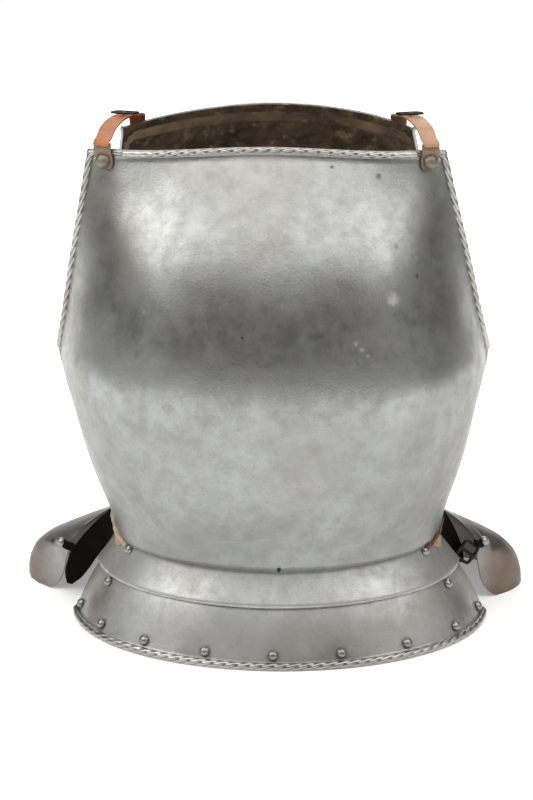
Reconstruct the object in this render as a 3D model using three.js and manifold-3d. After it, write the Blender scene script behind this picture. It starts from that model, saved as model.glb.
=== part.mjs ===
// A steel cuirass: breastplate and backplate, two front skirt plates, a flared
// rear skirt, leather shoulder and side straps, buckles and dome rivets.
// Millimetres, Z up. The front faces -Y and +X is the right side as seen from it.
import * as THREE from 'three';
import Module from 'manifold-3d';

const wasm = await Module();
wasm.setup();

// Driving dimensions
const PLATE = 2.0; // thickness of the steel
const LEATHER = 1.8; // thickness of the straps
const GAP = 0.4; // clearance between neighbouring pieces
const BORDER = 3.2; // radius of the rolled borders
const LEAN = 0.025; // the breast leans to one side by this much of its height
const FOOT_SHIFT = 4; // and stands this far to the other side at the floor
const SKIRT_SHIFT = -9; // the rear skirt hangs this far off that line
const SKIRT_TURN = 1.6; // and is turned this many degrees on the waist
const SKIRT_TILT = 0.012; // and a little lower on one side than on the other
const DEPTH_SHIFT = -2; // brings the middle of the depth onto the origin
const ARMPIT = 250; // height at which the arm openings begin
const WAIST = 83.5; // height of the waist edge at the middle
const NECK = 467.5; // height of the front neck edge at the middle
const RIVET = 3.7; // radius of the skirt rivets' domes

// The breastplate's level sections: its half width at the side edges, the
// depth of those edges and of the middle, the turn from the middle to an edge
// in degrees, and how much fuller than an ellipse the corners are.
const BREAST = [
  { height: 76, half: 155.5, side: -1, middle: -125.5, turn: 90, full: 0.06 },
  { height: 88, half: 156.5, side: -1, middle: -127.0, turn: 90, full: 0.06 },
  { height: 100, half: 158.3, side: -1, middle: -131.5, turn: 90, full: 0.07 },
  { height: 125, half: 167.0, side: -1, middle: -143.0, turn: 90, full: 0.08 },
  { height: 155, half: 177.0, side: -1, middle: -156.0, turn: 90, full: 0.09 },
  { height: 185, half: 184.5, side: -1, middle: -165.0, turn: 90, full: 0.10 },
  { height: 215, half: 191.0, side: -1, middle: -171.0, turn: 90, full: 0.10 },
  { height: 240, half: 198.0, side: -2, middle: -173.0, turn: 89, full: 0.10 },
  { height: 252, half: 200.8, side: -4, middle: -172.8, turn: 88, full: 0.10 },
  { height: 268, half: 198.6, side: -9, middle: -171.5, turn: 85, full: 0.10 },
  { height: 290, half: 193.6, side: -16, middle: -168.0, turn: 80, full: 0.09 },
  { height: 320, half: 187.6, side: -25, middle: -160.0, turn: 74, full: 0.08 },
  { height: 350, half: 182.0, side: -33, middle: -148.0, turn: 68, full: 0.06 },
  { height: 380, half: 175.8, side: -39, middle: -132.5, turn: 62, full: 0.04 },
  { height: 410, half: 169.4, side: -43, middle: -113.5, turn: 57, full: 0.03 },
  { height: 440, half: 163.6, side: -46, middle: -92.0, turn: 53, full: 0.02 },
  { height: 470, half: 158.4, side: -48, middle: -69.5, turn: 50, full: 0.0 },
];

// The backplate's level sections, in the same terms.
const BACK = [
  { height: 80, half: 151.6, side: -5, middle: 89.0, turn: 90, full: 0.06 },
  { height: 92, half: 152.6, side: -5, middle: 91.0, turn: 90, full: 0.06 },
  { height: 110, half: 157.4, side: -6, middle: 96.0, turn: 90, full: 0.07 },
  { height: 150, half: 171.0, side: -12, middle: 106.0, turn: 90, full: 0.08 },
  { height: 190, half: 181.4, side: -14, middle: 114.0, turn: 90, full: 0.10 },
  { height: 225, half: 188.8, side: -14, middle: 119.0, turn: 90, full: 0.10 },
  { height: 243, half: 193.2, side: -10, middle: 120.5, turn: 88, full: 0.10 },
  { height: 258, half: 191.0, side: 2, middle: 121.0, turn: 86, full: 0.10 },
  { height: 280, half: 184.0, side: 26, middle: 121.0, turn: 80, full: 0.09 },
  { height: 310, half: 174.0, side: 45, middle: 119.0, turn: 74, full: 0.08 },
  { height: 345, half: 163.0, side: 54, middle: 113.0, turn: 66, full: 0.06 },
  { height: 380, half: 153.0, side: 54, middle: 103.0, turn: 60, full: 0.04 },
  { height: 415, half: 144.0, side: 44, middle: 89.0, turn: 56, full: 0.02 },
  { height: 445, half: 137.0, side: 24, middle: 73.0, turn: 54, full: 0.0 },
  { height: 465, half: 134.0, side: 6, middle: 61.0, turn: 54, full: 0.0 },
  { height: 486, half: 133.0, side: -4, middle: 49.0, turn: 54, full: 0.0 },
];

// Level sections of the two front skirt plates: the half width at the ends,
// the depth of the ends and that of the middle.
const UPPER_SKIRT = [
  { height: 50, half: 174.2, side: -4, middle: -141.6 },
  { height: 64, half: 163.6, side: -3, middle: -132.6 },
  { height: 75, half: 155.6, side: -3, middle: -126.2 },
  { height: 84, half: 151.2, side: -3, middle: -121.2 },
  { height: 94, half: 149.2, side: -3, middle: -118.0 },
];
const LOWER_SKIRT = [
  { height: -2, half: 196.0, side: -14, middle: -158.8 },
  { height: 8, half: 193.6, side: -12, middle: -155.2 },
  { height: 22, half: 187.0, side: -9, middle: -149.2 },
  { height: 38, half: 178.4, side: -7, middle: -142.8 },
  { height: 52, half: 168.8, side: -6, middle: -136.2 },
  { height: 64, half: 159.4, side: -6, middle: -128.4 },
];

// The rear skirt's flare: how far it has spread from the waist (0) to the hem
// (1) at each height, and where its front edge stands, in degrees round from
// the side towards the front.
const REAR_SKIRT = [
  { height: -3, spread: 1.0, end: 25 },
  { height: 4, spread: 1.0, end: 29 },
  { height: 12, spread: 1.0, end: 32 },
  { height: 22, spread: 0.97, end: 33 },
  { height: 34, spread: 0.91, end: 32 },
  { height: 46, spread: 0.79, end: 29 },
  { height: 57, spread: 0.62, end: 22 },
  { height: 69, spread: 0.42, end: 10 },
  { height: 81, spread: 0.20, end: -8 },
  { height: 91, spread: 0.05, end: -17 },
  { height: 99, spread: 0.0, end: -19 },
];
const REAR_WAIST = { half: 158.8, centre: -5, depth: 103 };
const REAR_HEM = { half: 245.5, centre: 72, depth: 94 };

const steel = { color: 0x9a9c9c, metalness: 1.0, roughness: 0.35 };
const darkIron = { color: 0x2b2826, metalness: 0.9, roughness: 0.5 };
const tanLeather = { color: 0xb47e58, metalness: 0.0, roughness: 0.7 };
const orangeLeather = { color: 0xa65a30, metalness: 0.0, roughness: 0.6 };
const darkLeather = { color: 0x1d1411, metalness: 0.0, roughness: 0.6 };

const cuirass = new THREE.Group();
cuirass.name = 'cuirass';

const clamp = THREE.MathUtils.clamp;
const radians = THREE.MathUtils.degToRad;
const blend = (from, to, share) => from + (to - from) * share;

function smooth(from, to, value) {
  const share = clamp((value - from) / (to - from), 0, 1);
  return share * share * (3 - 2 * share);
}

// A column of a table at a height, on a smooth curve through its rows.
function read(table, column, height) {
  const last = table.length - 1;
  const at = clamp(height, table[0].height, table[last].height);
  let row = 0;
  while (row < last - 1 && at > table[row + 1].height) row += 1;
  const slope = (k) => {
    const low = table[Math.max(k - 1, 0)];
    const high = table[Math.min(k + 1, last)];
    return (high[column] - low[column]) / (high.height - low.height);
  };
  const a = table[row];
  const b = table[row + 1];
  const run = b.height - a.height;
  const t = (at - a.height) / run;
  const s = t * t * (3 - 2 * t);
  const easeIn = t * (1 - t) * (1 - t) * run * slope(row);
  const easeOut = t * t * (1 - t) * run * slope(row + 1);
  return blend(a[column], b[column], s) + easeIn - easeOut;
}

// The place of a point on the leaning, shifted torso.
function placed(x, y, z) {
  return new THREE.Vector3(x + FOOT_SHIFT - LEAN * z, y + DEPTH_SHIFT, z);
}

function add(name, geometry, look) {
  const mesh = new THREE.Mesh(geometry, new THREE.MeshStandardMaterial(look));
  mesh.name = name;
  cuirass.add(mesh);
}

// A closed wall between an outer and an inner grid of points with as many
// rows and columns. The columns run so that, seen from outside, they go right
// as the rows go up.
function wall(outer, inner) {
  const rows = outer.length;
  const columns = outer[0].length;
  const points = [...outer.flat(), ...inner.flat()];
  const innerStart = rows * columns;
  const at = (row, column) => row * columns + column;
  const faces = [];
  const quad = (a, b, c, d) => faces.push(a, b, c, a, c, d);
  for (let r = 0; r < rows - 1; r += 1) {
    for (let c = 0; c < columns - 1; c += 1) {
      quad(at(r, c), at(r, c + 1), at(r + 1, c + 1), at(r + 1, c));
      quad(
        innerStart + at(r, c),
        innerStart + at(r + 1, c),
        innerStart + at(r + 1, c + 1),
        innerStart + at(r, c + 1),
      );
    }
  }
  const rim = [];
  for (let c = 0; c < columns - 1; c += 1) rim.push(at(0, c));
  for (let r = 0; r < rows - 1; r += 1) rim.push(at(r, columns - 1));
  for (let c = columns - 1; c > 0; c -= 1) rim.push(at(rows - 1, c));
  for (let r = rows - 1; r > 0; r -= 1) rim.push(at(r, 0));
  rim.forEach((here, k) => {
    const next = rim[(k + 1) % rim.length];
    quad(here, innerStart + here, innerStart + next, next);
  });
  return indexed(points, faces);
}

function indexed(points, faces) {
  const geometry = new THREE.BufferGeometry();
  const flat = points.flatMap((p) => [p.x, p.y, p.z]);
  geometry.setAttribute('position', new THREE.Float32BufferAttribute(flat, 3));
  geometry.setIndex(faces);
  return geometry;
}

// The outward direction at each point of a grid.
function outward(grid) {
  const lastRow = grid.length - 1;
  const lastColumn = grid[0].length - 1;
  return grid.map((row, r) => row.map((_, c) => {
    const left = grid[r][Math.max(c - 1, 0)];
    const right = grid[r][Math.min(c + 1, lastColumn)];
    const below = grid[Math.max(r - 1, 0)][c];
    const above = grid[Math.min(r + 1, lastRow)][c];
    const across = right.clone().sub(left);
    return across.cross(above.clone().sub(below)).normalize();
  }));
}

function shifted(grid, normals, amount) {
  return grid.map((row, r) => row.map((point, c) => {
    const reach = typeof amount === 'number' ? amount : amount(r, c);
    return point.clone().addScaledVector(normals[r][c], reach);
  }));
}

// A plate of even thickness whose outer face is the grid, raised here and
// there by `raise(row, column)`.
function plate(grid, thickness, raise = () => 0) {
  const normals = outward(grid);
  return wall(shifted(grid, normals, raise), shifted(grid, normals, -thickness));
}

// The plan of a level section: half width, the depth of its ends and of its
// middle, its turn in degrees and its fullness; `share` runs from -1 to 1.
function section({ half, side, middle, turn = 90, full = 0 }, share) {
  const end = radians(turn);
  const angle = end * share;
  const bulge = (a) => Math.cos(a) * (1 + full * Math.sin(a) ** 2);
  const rise = (bulge(angle) - bulge(end)) / (1 - bulge(end));
  return {
    x: half * (Math.sin(angle) / Math.sin(end)),
    y: side + (middle - side) * rise,
  };
}

function sectionAt(table, height) {
  const row = {};
  for (const column of Object.keys(table[0])) {
    row[column] = read(table, column, height);
  }
  return row;
}

// Shares across or up a plate: even steps, with a border of fixed width in
// millimetres kept at one or both ends.
function steps(count, length, lowBorder, highBorder) {
  const edge = BORDER_STEPS.map((s) => s / length);
  const low = lowBorder ? edge : [0];
  const high = (highBorder ? edge : [0]).map((s) => 1 - s).reverse();
  const from = low[low.length - 1];
  const to = high[0];
  const inside = [];
  for (let k = 1; k < count; k += 1) inside.push(blend(from, to, k / count));
  return [...low, ...inside, ...high];
}
const BORDER_STEPS = [0, 0.2 * BORDER, BORDER, 1.8 * BORDER, 2 * BORDER];

// How far the rolled border stands out at a distance from the edge.
function roll(distance) {
  const off = distance - BORDER;
  return Math.sqrt(Math.max(BORDER * BORDER - off * off, 0));
}

// A torso plate: level sections from a table between a lower and an upper
// edge, with rolled borders at the top and at the arm openings.
function torsoPlate(name, table, lowEdge, highEdge, columns, rows, direction) {
  const middle = sectionAt(table, ARMPIT);
  const span = Math.abs(middle.middle) + middle.half;
  const across = steps(columns, 2 * span, true, true);
  const up = steps(rows, 395, false, true);
  const grid = up.map((high) => across.map((share) => {
    const turn = direction * (2 * share - 1);
    const height = blend(lowEdge(turn), highEdge(turn), high);
    const { x, y } = section(sectionAt(table, height), turn);
    return placed(x, y, height);
  }));
  const raise = (r, c) => {
    const height = grid[r][c].z;
    const fromTop = (1 - up[r]) * 395;
    const fromSide = Math.min(across[c], 1 - across[c]) * 2 * span;
    const arm = smooth(ARMPIT - 2, ARMPIT + 14, height) * roll(fromSide);
    return Math.max(arm, roll(fromTop));
  };
  add(name, plate(grid, PLATE, raise), steel);
}

const breastLow = (turn) => WAIST + 0.5 - 6 * turn ** 4 + 17 * turn ** 10;
const breastHigh = (turn) => {
  const out = Math.abs(turn);
  return NECK - 5.5 * smooth(0, 0.75, out) - 2 * smooth(0.85, 1, out);
};
torsoPlate('breastplate', BREAST, breastLow, breastHigh, 22, 17, 1);

const backLow = () => 84;
const backHigh = (turn) => 482 - 14 * Math.abs(turn) ** (turn < 0 ? 1.4 : 2.2);
torsoPlate('backplate', BACK, backLow, backHigh, 18, 12, -1);

function toSolid(geometry) {
  return new wasm.Manifold(new wasm.Mesh({
    numProp: 3,
    vertProperties: new Float32Array(geometry.attributes.position.array),
    triVerts: new Uint32Array(geometry.index.array),
  }));
}

function fromSolid(solid) {
  const mesh = solid.getMesh();
  const geometry = new THREE.BufferGeometry();
  geometry.setAttribute('position', new THREE.BufferAttribute(mesh.vertProperties, 3));
  geometry.setIndex(new THREE.BufferAttribute(mesh.triVerts, 1));
  return geometry;
}

// Skirt plates: each runs between two edges on its own level sections.
function skirtPoint(table, height, turn) {
  const { x, y } = section(sectionAt(table, height), turn);
  return placed(x, y, height);
}

function skirtGrid(table, lowEdge, highEdge, columns, shares) {
  return shares.map((high) => {
    const row = [];
    for (let c = 0; c <= columns; c += 1) {
      const turn = (2 * c) / columns - 1;
      row.push(skirtPoint(table, blend(lowEdge(turn), highEdge(turn), high), turn));
    }
    return row;
  });
}

const upperLow = (turn) => 53.5 - 3.5 * turn ** 2;
const upperHigh = (turn) => 92 - 17 * turn ** 4;
const upperGrid = skirtGrid(UPPER_SKIRT, upperLow, upperHigh, 28, [0, 0.35, 0.7, 1]);
add('upper_skirt_plate', plate(upperGrid, PLATE), steel);

const lowerLow = () => -1.5;
const lowerHigh = (turn) => 62 - 4 * turn ** 2;
const lowerLength = 64;
const lowerShares = steps(4, lowerLength, true, false);
const lowerGrid = skirtGrid(LOWER_SKIRT, lowerLow, lowerHigh, 28, lowerShares);
const lowerRaise = (r) => roll(lowerShares[r] * lowerLength);
const lowerSolid = toSolid(plate(lowerGrid, PLATE, lowerRaise)).trimByPlane([0, 0, 1], 0);
add('lower_skirt_plate', fromSolid(lowerSolid), steel);

// The rear skirt: one flared plate from side to side round the back.
function rearSkirtPoint(height, share) {
  const { spread, end } = sectionAt(REAR_SKIRT, height);
  const half = blend(REAR_WAIST.half, REAR_HEM.half, spread);
  const centre = blend(REAR_WAIST.centre, REAR_HEM.centre, spread);
  const depth = blend(REAR_WAIST.depth, REAR_HEM.depth, spread);
  const angle = radians(blend(-end, 180 + end, share));
  const turn = radians(SKIRT_TURN * spread);
  const out = half * Math.cos(angle);
  const back = centre + depth * Math.sin(angle);
  const level = height * (1 + (SKIRT_TILT * spread * out) / REAR_HEM.half);
  const point = placed(
    out * Math.cos(turn) + back * Math.sin(turn),
    back * Math.cos(turn) - out * Math.sin(turn),
    level,
  );
  point.x += SKIRT_SHIFT * spread;
  return point;
}

// A point on a surface given by two shares, with its outward direction.
function spot(surface, high, share) {
  const step = 0.002;
  const point = surface(high, share);
  const across = surface(high, share + step).sub(surface(high, share - step));
  const up = surface(high + step * 100, share).sub(surface(high - step * 100, share));
  return { point, normal: across.clone().cross(up).normalize(), across: across.normalize() };
}

// A frame whose Z leaves the surface and whose X follows it.
function seated({ point, normal, across }, lift = 0) {
  const upward = normal.clone().cross(across).normalize();
  const frame = new THREE.Matrix4().makeBasis(across, upward, normal);
  frame.setPosition(point.clone().addScaledVector(normal, lift));
  return frame;
}

const REAR_COLUMNS = 28;
const rearGrid = REAR_SKIRT.map(({ height }) => {
  const row = [];
  for (let c = 0; c <= REAR_COLUMNS; c += 1) {
    row.push(rearSkirtPoint(height, c / REAR_COLUMNS));
  }
  return row;
});

// A closed bar: a flat outline pushed through a depth, set in a frame.
function bar(outline, low, high, frame) {
  const points = [];
  for (const z of [low, high]) {
    for (const [x, y] of outline) points.push(new THREE.Vector3(x, y, z));
  }
  const count = outline.length;
  const faces = [];
  for (let k = 0; k < count; k += 1) {
    const next = (k + 1) % count;
    faces.push(k, next, count + next, k, count + next, count + k);
  }
  for (let k = 1; k < count - 1; k += 1) {
    faces.push(0, k + 1, k, count, count + k, count + k + 1);
  }
  return indexed(points.map((p) => p.applyMatrix4(frame)), faces);
}

const SLOT = [[-4, -1.9], [4, -1.9], [4, 1.9], [-4, 1.9]];
const SLOTS = [[58, 0.048], [51, 0.938]]; // height and how far round each is
let rearSolid = toSolid(plate(rearGrid, PLATE)).trimByPlane([0, 0, 1], 0);
for (const [height, share] of SLOTS) {
  const frame = seated(spot(rearSkirtPoint, height, share));
  rearSolid = rearSolid.subtract(toSolid(bar(SLOT, -8, 8, frame)));
}
add('rear_skirt', fromSolid(rearSolid), steel);

// A dome rivet: a low turned head, closed underneath.
function dome(radius, frame, sides = 10) {
  const profile = [0, 0.45, 0.82, 1].map((out) => [
    radius * out,
    0.75 * radius * Math.sqrt(Math.max(1 - out * out, 0)) + 0.15 * radius,
  ]);
  profile.push([radius, 0], [0, 0]);
  const points = [];
  const faces = [];
  const rings = [];
  for (const [out, up] of profile) {
    if (out === 0) {
      rings.push([points.length]);
      points.push(new THREE.Vector3(0, 0, up));
      continue;
    }
    rings.push([]);
    for (let k = 0; k < sides; k += 1) {
      const angle = (2 * Math.PI * k) / sides;
      rings[rings.length - 1].push(points.length);
      points.push(new THREE.Vector3(out * Math.cos(angle), out * Math.sin(angle), up));
    }
  }
  for (let r = 0; r < rings.length - 1; r += 1) {
    for (let k = 0; k < sides; k += 1) {
      const next = (k + 1) % sides;
      const [a, b] = [rings[r], rings[r + 1]];
      if (b.length > 1) faces.push(a[k % a.length], b[k], b[next]);
      if (a.length > 1) faces.push(a[k], b[next % b.length], a[next]);
    }
  }
  return indexed(points.map((p) => p.applyMatrix4(frame)), faces);
}

// Rivets of the front skirt: the plate, the height and the turn of each.
const skirtSurface = (table) => (height, turn) => skirtPoint(table, height, turn);
const HEM_RIVETS = [-0.9, -0.667, -0.445, -0.225, -0.012, 0.198, 0.428, 0.667, 0.9];
HEM_RIVETS.forEach((turn, k) => {
  const at = spot(skirtSurface(LOWER_SKIRT), 12.5, turn);
  add(`hem_rivet_${k + 1}`, dome(RIVET, seated(at, GAP)), steel);
});
for (const [side, sign] of [['left', -1], ['right', 1]]) {
  const low = spot(skirtSurface(LOWER_SKIRT), 45.5, sign * 0.745);
  add(`lower_skirt_rivet_${side}`, dome(RIVET, seated(low, GAP)), steel);
  const high = spot(skirtSurface(UPPER_SKIRT), 77.5, sign * 0.71);
  add(`upper_skirt_rivet_${side}`, dome(RIVET, seated(high, 2 * GAP)), steel);
}

const waistSpot = spot((height, turn) => {
  const { x, y } = section(sectionAt(BREAST, height), turn);
  return placed(x, y, height);
}, WAIST + 2.6, 0.012);
add('waist_rivet', dome(1.5, seated(waistSpot, GAP + 0.5), 8), darkIron);

// Leather bands between the waist edge and the upper skirt plate, one at each
// side: their outer face in the same terms as the plates' sections.
const WAIST_BAND = [
  { height: 66, half: 166.0, side: -4, middle: -135.2 },
  { height: 75, half: 158.0, side: -4, middle: -128.8 },
  { height: 84, half: 153.2, side: -4, middle: -123.6 },
  { height: 92, half: 153.2, side: -4, middle: -124.4 },
  { height: 104, half: 155.4, side: -4, middle: -129.0 },
];
const BAND_THICKNESS = 1.4;
const BAND_COLUMNS = 8;
for (const [name, sign] of [['waist_band_left', -1], ['waist_band_right', 1]]) {
  const grid = [-10, -6, -2, 2, 6].map((from) => {
    const row = [];
    for (let c = 0; c <= BAND_COLUMNS; c += 1) {
      const along = c / BAND_COLUMNS;
      const turn = sign * (sign > 0 ? blend(0.8, 0.975, along) : blend(0.975, 0.8, along));
      const taper = Math.min(1, (Math.abs(turn) - 0.76) * 14);
      const height = breastLow(turn) + (from < 0 ? from * taper : from);
      row.push(skirtPoint(WAIST_BAND, height, turn));
    }
    return row;
  });
  add(name, plate(grid, BAND_THICKNESS), tanLeather);
}

// A strap along a path of points, each with its direction across and its half
// width; the path is the middle of its outer face.
function strap(path, thickness) {
  const grid = path.map(({ point, across, half }) => [-1, -0.5, 0, 0.5, 1].map(
    (side) => point.clone().addScaledVector(across, side * half),
  ));
  return plate(grid, thickness);
}

// More points on a smooth curve through the rows of a strap's table.
function along(rows, perSpan) {
  const count = (rows.length - 1) * perSpan;
  const curve = (vectors) => new THREE.CatmullRomCurve3(vectors, false, 'centripetal');
  const points = curve(rows.map((row) => row.point));
  const sides = curve(rows.map((row) => row.across));
  const path = [];
  for (let k = 0; k <= count; k += 1) {
    const at = k / perSpan;
    const row = Math.min(Math.floor(at), rows.length - 2);
    path.push({
      point: points.getPoint(k / count),
      across: sides.getPoint(k / count).normalize(),
      half: blend(rows[row].half, rows[row + 1].half, at - row),
    });
  }
  return path;
}

// Shoulder tabs: leather tongues riveted over the top corners of the breast.
const TAB = [
  { height: 443.4, half: 3.2 },
  { height: 444.4, half: 5.4 },
  { height: 446.2, half: 7.0 },
  { height: 449.0, half: 7.7 },
  { height: 453.5, half: 7.7 },
  { height: 456.0, half: 7.7 },
  { height: 458.6, half: 7.7 },
  { height: 462.6, half: 7.7 },
  { height: 466.8, half: 7.7 },
];
const TAB_MIDDLE = 144.8;
const TAB_RISE = 3.9; // how far a tab stands off to clear the neck's border
const breastSurface = (height, turn) => {
  const { x, y } = section(sectionAt(BREAST, height), turn);
  return placed(x, y, height);
};

function turnAt(row, x) {
  const end = radians(row.turn);
  return Math.asin((x / row.half) * Math.sin(end)) / end;
}

function tabSpot(height, x) {
  return spot(breastSurface, height, turnAt(sectionAt(BREAST, height), x));
}

for (const [side, sign] of [['left', -1], ['right', 1]]) {
  const grid = TAB.map(({ height, half }) => [-1, -0.5, 0, 0.5, 1].map((share) => {
    const { point, normal } = tabSpot(height, sign * TAB_MIDDLE + share * half);
    const lift = GAP + 0.35 + TAB_RISE * smooth(453.5, 457.5, height) + LEATHER;
    return point.addScaledVector(normal, lift);
  }));
  add(`shoulder_tab_${side}`, plate(grid, LEATHER), tanLeather);
  const rivet = tabSpot(450.6, sign * TAB_MIDDLE);
  const frame = seated(rivet, 2 * GAP + LEATHER + 1.8);
  add(`shoulder_tab_rivet_${side}`, dome(4.3, frame), steel);
}

// Shoulder straps, from the tabs over to the outside of the backplate. X is
// given for the right side and turned round for the left.
const SHOULDER = [
  { x: 145.2, y: -55.0, z: 472.0, half: 7.5 },
  { x: 144.0, y: -44.0, z: 474.8, half: 7.6 },
  { x: 141.4, y: -30.0, z: 478.4, half: 7.8 },
  { x: 134.0, y: -8.0, z: 481.6, half: 7.9 },
  { x: 126.0, y: 8.0, z: 480.6, half: 7.9 },
  { x: 120.0, y: 22.0, z: 478.6, half: 7.9 },
];
// Heights at which each strap's front end lies over its tab.
const SHOULDER_FRONT = [464.0, 468.2];
// Where each strap then lies on the back, below its rim.
const SHOULDER_END = [
  { height: 464, half: 7.9, lift: 7.4 },
  { height: 452, half: 7.9, lift: 4.0 },
  { height: 440, half: 7.9, lift: 2.6 },
  { height: 436, half: 3.5, lift: 2.6 },
];
const SHOULDER_FOOT = 118;
const CREST = 11; // the step of a strap's path that its buckle sits on
const backSurface = (height, turn) => {
  const { x, y } = section(sectionAt(BACK, height), -turn);
  return placed(x, y, height);
};
// A closed ring: a round bar of a radius along a rounded rectangle.
function ring(width, height, corner, thick, frame) {
  const path = [];
  const corners = [[1, 1, 0], [-1, 1, 90], [-1, -1, 180], [1, -1, 270]];
  for (const [sx, sy, start] of corners) {
    for (let k = 0; k < 3; k += 1) {
      const angle = radians(start + k * 45);
      const cx = sx * (width / 2 - corner);
      const cy = sy * (height / 2 - corner);
      const out = new THREE.Vector2(Math.cos(angle), Math.sin(angle));
      path.push({ x: cx + corner * out.x, y: cy + corner * out.y, out });
    }
  }
  const sides = 6;
  const points = [];
  for (const { x, y, out } of path) {
    for (let k = 0; k < sides; k += 1) {
      const angle = (2 * Math.PI * k) / sides;
      const reach = thick * Math.cos(angle);
      const up = thick * Math.sin(angle);
      points.push(new THREE.Vector3(x + out.x * reach, y + out.y * reach, up));
    }
  }
  const faces = [];
  path.forEach((_, p) => {
    const next = ((p + 1) % path.length) * sides;
    for (let k = 0; k < sides; k += 1) {
      const side = (k + 1) % sides;
      const [a, b] = [p * sides + k, p * sides + side];
      faces.push(a, next + k, next + side, a, next + side, b);
    }
  });
  return indexed(points.map((p) => p.applyMatrix4(frame)), faces);
}

// A buckle: the ring and its tongue as one piece of iron.
function buckle(width, height, thick, frame) {
  const frameRing = toSolid(ring(width, height, 3, thick, frame));
  const half = thick * 0.8;
  const tongue = [[-half, -height / 2], [half, -height / 2], [half, height / 2], [-half, height / 2]];
  return fromSolid(frameRing.add(toSolid(bar(tongue, -half, half, frame))));
}

for (const [side, sign] of [['left', -1], ['right', 1]]) {
  const across = new THREE.Vector3(1, sign * 0.25, 0).normalize();
  const rows = SHOULDER.map(({ x, y, z, half }) => (
    { point: placed(sign * x, y, z), across, half }
  ));
  for (const height of SHOULDER_FRONT.toReversed()) {
    const at = tabSpot(height, sign * TAB_MIDDLE);
    const lift = 4.5 * GAP + TAB_RISE + 2 * LEATHER;
    const point = at.point.addScaledVector(at.normal, lift);
    rows.unshift({ point, across: at.across, half: 7.4 });
  }
  for (const { height, half, lift } of SHOULDER_END) {
    const turn = turnAt(sectionAt(BACK, height), -sign * SHOULDER_FOOT);
    const at = spot(backSurface, height, turn);
    const point = at.point.addScaledVector(at.normal, lift);
    rows.push({ point, across: at.across.negate(), half });
  }
  const path = along(rows, 2);
  add(`shoulder_strap_${side}`, strap(path, LEATHER), orangeLeather);
  const high = path[CREST];
  const next = path[CREST + 1];
  const run = next.point.clone().sub(high.point).normalize();
  const up = high.across.clone().cross(run).normalize();
  const frame = new THREE.Matrix4().makeBasis(high.across, run, up);
  frame.setPosition(high.point.clone().addScaledVector(up, 1.4 + GAP));
  add(`shoulder_buckle_${side}`, buckle(21, 13, 1.3, frame), darkIron);
  const last = path.length - 1;
  const low = path[last - 3];
  const lowRun = path[last - 2].point.clone().sub(path[last - 4].point).normalize();
  const lowOut = low.across.clone().cross(lowRun).normalize();
  const lowFrame = new THREE.Matrix4().makeBasis(low.across, lowRun, lowOut);
  lowFrame.setPosition(low.point.clone().addScaledVector(lowOut, GAP + 0.2));
  add(`shoulder_rivet_${side}`, dome(4.0, lowFrame), steel);
}

// Side straps: dark leather tongues that hang from the waist at each side
// between the two skirts. `across` leans from sideways to upright.
const SIDE_LEFT = [
  { x: -157.2, y: 9, z: 97, across: [0, 1, 0], half: 7.5 },
  { x: -160.0, y: 8, z: 87, across: [-0.35, 0.75, 0.35], half: 8.5 },
  { x: -168.0, y: 7, z: 74, across: [-0.65, 0.3, 0.68], half: 11 },
  { x: -182.0, y: 7, z: 57, across: [-0.75, 0.1, 0.66], half: 12 },
  { x: -193.5, y: 8, z: 40, across: [-0.85, 0.0, 0.52], half: 12 },
  { x: -200.5, y: 9, z: 25, across: [-0.95, 0.0, 0.3], half: 9 },
  { x: -205.0, y: 10, z: 15, across: [-0.95, 0.0, 0.3], half: 2.6 },
];
const SIDE_RIGHT = [
  { x: 157.2, y: 9, z: 97, across: [0, -1, 0], half: 7.5 },
  { x: 159.5, y: 7, z: 87, across: [-0.5, -0.8, 0], half: 7.5 },
  { x: 164.0, y: 5, z: 72, across: [-0.9, -0.4, -0.3], half: 8 },
  { x: 171.0, y: 5, z: 55, across: [-0.9, -0.2, -0.35], half: 7 },
  { x: 176.5, y: 6, z: 42, across: [-0.9, 0, -0.35], half: 2.4 },
];
for (const [name, rows] of [['side_strap_left', SIDE_LEFT], ['side_strap_right', SIDE_RIGHT]]) {
  const path = rows.map(({ x, y, z, across, half }) => ({
    point: placed(x, y, z),
    across: new THREE.Vector3(...across).normalize(),
    half,
  }));
  add(name, strap(along(path, 2), LEATHER), darkLeather);
}

// Rivets and hasps on the rear skirt's front ends, and the buckle at the right.
const HASPS = [
  { name: 'left', height: 56, share: 0.982, end: [-195.6, 2.6, 55] },
  { name: 'right', height: 61, share: 0.018, end: [192, -6, 66] },
];
for (const { name, height, share, end } of HASPS) {
  const at = spot(rearSkirtPoint, height, share);
  const edge = spot(rearSkirtPoint, height, Math.round(share));
  const tip = new THREE.Vector3(...end);
  const middle = at.point.clone().addScaledVector(at.normal, 3.0);
  const bend = edge.point.addScaledVector(edge.normal, 4.0);
  const run = bend.clone().sub(middle).normalize();
  const side = run.clone().cross(at.normal).normalize();
  const rows = [middle.clone().addScaledVector(run, -5.5), middle, bend, tip]
    .map((point) => ({ point, across: side, half: 4 }));
  rows[0].half = 2.6;
  add(`hasp_${name}`, strap(along(rows, 2), 1.2), darkLeather);
  add(`rear_rivet_${name}`, dome(RIVET, seated(at, 3.6 + GAP)), steel);
}
const buckleFrame = new THREE.Matrix4().makeRotationFromEuler(
  new THREE.Euler(radians(78), radians(0), radians(12)),
);
buckleFrame.multiply(new THREE.Matrix4().makeRotationZ(radians(42)));
buckleFrame.setPosition(184, -2, 55);
add('side_buckle_right', buckle(19, 15, 1.9, buckleFrame), darkIron);

// The origin is the middle of the footprint, on the floor.
const box = new THREE.Box3().setFromObject(cuirass);
for (const mesh of cuirass.children) {
  mesh.geometry.translate(
    -(box.min.x + box.max.x) / 2,
    -(box.min.y + box.max.y) / 2,
    -box.min.z,
  );
}

export default cuirass;
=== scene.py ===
# Looks of a steel cuirass: rolled and roped borders, mottled plate with painted shade and painted
# highlights on the breast, worn leather.
# Metres, Z up. The breast faces -Y. The imported model is the fixed frame.
import math

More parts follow.
